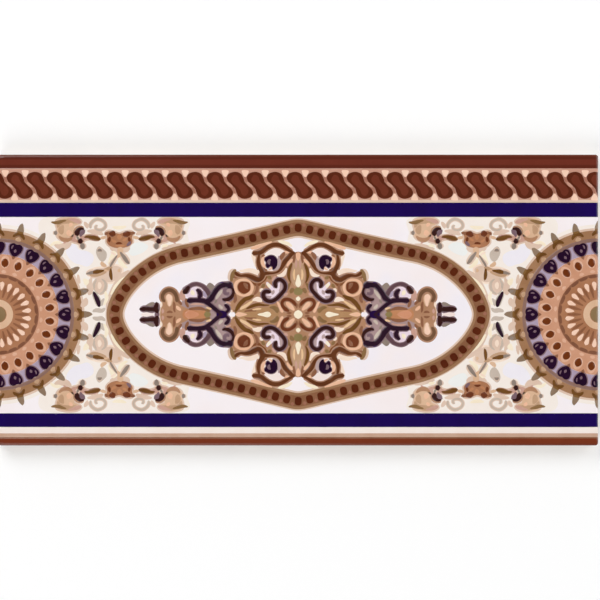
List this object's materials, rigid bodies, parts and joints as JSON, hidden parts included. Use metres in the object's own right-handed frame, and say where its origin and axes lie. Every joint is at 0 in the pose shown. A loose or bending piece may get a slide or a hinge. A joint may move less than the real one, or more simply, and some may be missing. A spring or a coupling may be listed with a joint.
{
  "type": "border tile",
  "caption": "Flat oblong glazed wall tile with a running border pattern, rounded face edges and a bed of shallow square keys.",
  "frame": {"origin": "centre of the bed, the keyed back face that is laid on the wall or floor", "axes": "+X along the border, end to end; +Y across it, towards the edge with the rope band; +Z out of the glazed face"},
  "size_m": [0.2, 0.097, 0.0075],
  "materials": {
    "white_glaze": "gloss",
    "brown_enamel": "gloss",
    "navy_enamel": "gloss",
    "salmon_enamel": "gloss",
    "ochre_enamel": "gloss",
    "biscuit": "matt"
  },
  "bodies": {
    "root": {"border_tile": "white_glaze"}
  },
  "joints": []
}
